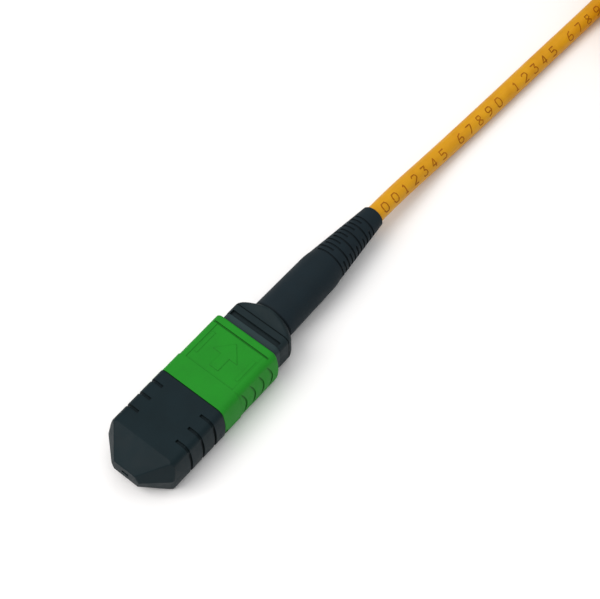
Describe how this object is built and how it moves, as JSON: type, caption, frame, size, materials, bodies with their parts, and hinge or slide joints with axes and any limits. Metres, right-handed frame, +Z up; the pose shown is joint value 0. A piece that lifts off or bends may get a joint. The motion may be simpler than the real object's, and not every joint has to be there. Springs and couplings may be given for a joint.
{
  "type": "mpo fibre connector",
  "caption": "Rectangular push-pull multi-fibre connector with a tapered dust cap, green coupling sleeve and slotted strain relief, on a round patch cord folded into a tied hank.",
  "frame": {"origin": "centre of the first connector's box, at the surface it lies on", "axes": "+Z up (key side), +Y from the mating end to the strain relief and along the cord, +X across the width"},
  "size_m": [0.0351, 0.1857, 0.017],
  "materials": {
    "cap_plastic": "fine moulded texture, slightly dusty",
    "green_plastic": "satin moulded",
    "dark_plastic": "satin moulded",
    "boot_rubber": "matte",
    "soft_rubber": "matte",
    "ferrule_plastic": "glass-filled, ground end face",
    "steel": "drawn",
    "brass_sleeve": "crimped",
    "yarn": "loose fibre",
    "fibre_glass": "coated",
    "cord_jacket": "satin jacket",
    "tie_tape": "hook-and-loop tape"
  },
  "bodies": {
    "connector": {"inner_housing": "dark_plastic", "coupling_spring_left": "steel", "coupling_spring_right": "steel", "ferrule_spring": "steel", "back_post": "dark_plastic", "crimp_sleeve": "brass_sleeve", "aramid_yarn": "yarn", "strain_relief": "boot_rubber", "cable_in_boot": "cord_jacket", "cable_lead": "cord_jacket", "cable_hank": "cord_jacket", "cable_tail": "cord_jacket", "hank_tie_side": "tie_tape", "hank_tie_end": "tie_tape", "far_inner_housing": "dark_plastic", "far_coupling_spring_left": "steel", "far_coupling_spring_right": "steel", "far_ferrule_spring": "steel", "far_back_post": "dark_plastic", "far_crimp_sleeve": "brass_sleeve", "far_aramid_yarn": "yarn", "far_strain_relief": "boot_rubber", "far_cable_in_boot": "cord_jacket"},
    "dust_cap": {"dust_cap": "cap_plastic"},
    "outer_shell": {"outer_shell": "green_plastic"},
    "ferrule": {"mt_ferrule": "ferrule_plastic", "guide_pin_left": "steel", "guide_pin_right": "steel", "pin_clamp": "steel", "ferrule_boot": "soft_rubber", "fibre_ribbon": "fibre_glass"},
    "far_dust_cap": {"far_dust_cap": "cap_plastic"},
    "far_outer_shell": {"far_outer_shell": "green_plastic"},
    "far_ferrule": {"far_mt_ferrule": "ferrule_plastic", "far_guide_pin_left": "steel", "far_guide_pin_right": "steel", "far_pin_clamp": "steel", "far_ferrule_boot": "soft_rubber", "far_fibre_ribbon": "fibre_glass"}
  },
  "joints": [
    {"name": "cap_pull_off", "type": "slide", "parent": "connector", "child": "dust_cap", "axis": [0, -1, 0], "range_m": [0, 0.016]},
    {"name": "shell_pull_back", "type": "slide", "parent": "connector", "child": "outer_shell", "axis": [0, 1, 0], "range_m": [0, 0.0025], "stiffness_N_per_m": 400, "deforming": ["coupling_spring_left", "coupling_spring_right"]},
    {"name": "ferrule_push_in", "type": "slide", "parent": "connector", "child": "ferrule", "axis": [0, 1, 0], "range_m": [0, 0.0008], "stiffness_N_per_m": 1500, "deforming": ["ferrule_spring"]},
    {"name": "far_cap_pull_off", "type": "slide", "parent": "connector", "child": "far_dust_cap", "axis": [0, 1, 0], "range_m": [0, 0.016]},
    {"name": "far_shell_pull_back", "type": "slide", "parent": "connector", "child": "far_outer_shell", "axis": [0, -1, 0], "range_m": [0, 0.0025], "stiffness_N_per_m": 400, "deforming": ["far_coupling_spring_left", "far_coupling_spring_right"]},
    {"name": "far_ferrule_push_in", "type": "slide", "parent": "connector", "child": "far_ferrule", "axis": [0, -1, 0], "range_m": [0, 0.0008], "stiffness_N_per_m": 1500, "deforming": ["far_ferrule_spring"]}
  ]
}
